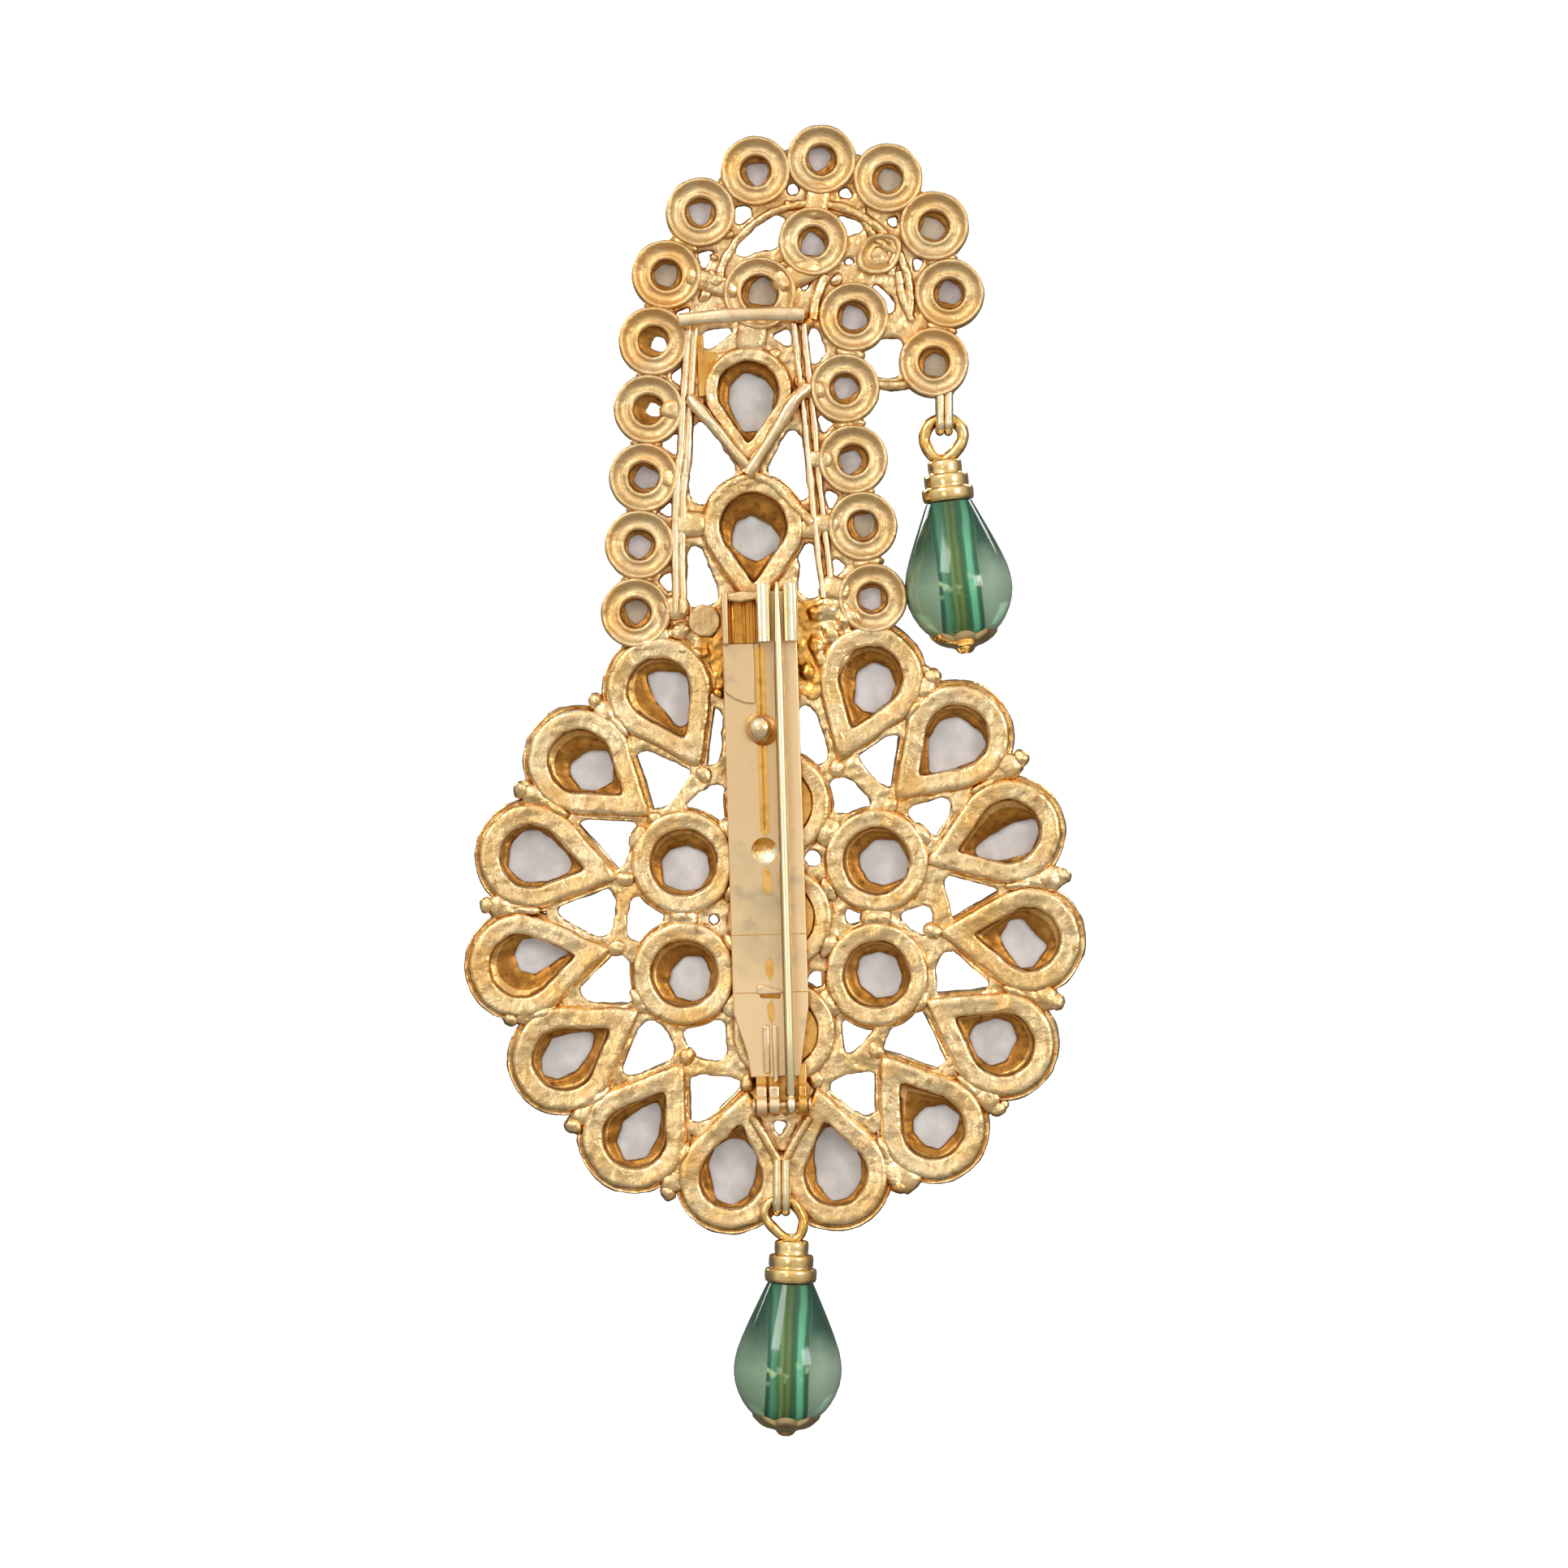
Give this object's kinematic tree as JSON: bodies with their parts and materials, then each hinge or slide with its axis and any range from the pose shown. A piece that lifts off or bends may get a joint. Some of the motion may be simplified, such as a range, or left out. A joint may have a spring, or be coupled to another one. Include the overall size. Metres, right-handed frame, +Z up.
{
  "type": "turban ornament",
  "caption": "Turban ornament with a rosette of pear stones under a curved stem of small round stones, a feather loop, a hinged pin and two hanging bead drops.",
  "frame": {"origin": "middle of the needle, where the turban cloth is held", "axes": "+X to the right when seen from the pin side, +Y away from the pin side towards the stones' faces, +Z up to the top of the curved stem"},
  "size_m": [0.061, 0.0131, 0.1291],
  "materials": {
    "gold": "warm gilt cast metal, brown in the recesses",
    "pale_stone": "milky pale lilac stone over foil",
    "green_glass": "clouded green glass"
  },
  "bodies": {
    "frame_body": {"frame": "gold", "pin_bar": "gold", "hinge_rivet": "gold", "pear_stone_01": "pale_stone", "pear_stone_02": "pale_stone", "pear_stone_03": "pale_stone", "pear_stone_04": "pale_stone", "pear_stone_05": "pale_stone", "pear_stone_06": "pale_stone", "pear_stone_07": "pale_stone", "pear_stone_08": "pale_stone", "pear_stone_09": "pale_stone", "pear_stone_10": "pale_stone", "pear_stone_11": "pale_stone", "pear_stone_12": "pale_stone", "pear_stone_13": "pale_stone", "pear_stone_14": "pale_stone", "round_stone_1": "pale_stone", "round_stone_2": "pale_stone", "round_stone_3": "pale_stone", "round_stone_4": "pale_stone", "round_stone_5": "pale_stone", "round_stone_6": "pale_stone", "round_stone_7": "pale_stone", "stem_pear_upper": "pale_stone", "stem_pear_lower": "pale_stone", "small_stone_01": "pale_stone", "small_stone_02": "pale_stone", "small_stone_03": "pale_stone", "small_stone_04": "pale_stone", "small_stone_05": "pale_stone", "small_stone_06": "pale_stone", "small_stone_07": "pale_stone", "small_stone_08": "pale_stone", "small_stone_09": "pale_stone", "small_stone_10": "pale_stone", "small_stone_11": "pale_stone", "small_stone_12": "pale_stone", "small_stone_13": "pale_stone", "small_stone_14": "pale_stone", "small_stone_15": "pale_stone", "small_stone_16": "pale_stone", "small_stone_17": "pale_stone", "small_stone_18": "pale_stone", "small_stone_19": "pale_stone", "small_stone_20": "pale_stone", "leaf_stone": "pale_stone"},
    "needle_body": {"needle": "gold"},
    "lower_drop": {"lower_drop_pin": "gold", "lower_drop_cap": "gold", "lower_drop_bead": "green_glass", "lower_drop_end": "gold"},
    "upper_drop": {"upper_drop_pin": "gold", "upper_drop_cap": "gold", "upper_drop_bead": "green_glass", "upper_drop_end": "gold"}
  },
  "joints": [
    {"name": "needle_hinge", "type": "hinge", "parent": "frame_body", "child": "needle_body", "pos_m": [0.0007, 0, -0.02509], "axis": [0.9996, 0, 0.0279], "range_deg": [0, 60]},
    {"name": "lower_drop_swing", "type": "hinge", "parent": "frame_body", "child": "lower_drop", "pos_m": [-0.00024, 0.0013, -0.03444], "axis": [1, 0, 0], "range_deg": [-60, 22]},
    {"name": "upper_drop_swing", "type": "hinge", "parent": "frame_body", "child": "upper_drop", "pos_m": [0.01584, 0.004, 0.04244], "axis": [1, 0, 0], "range_deg": [-60, 60]}
  ]
}
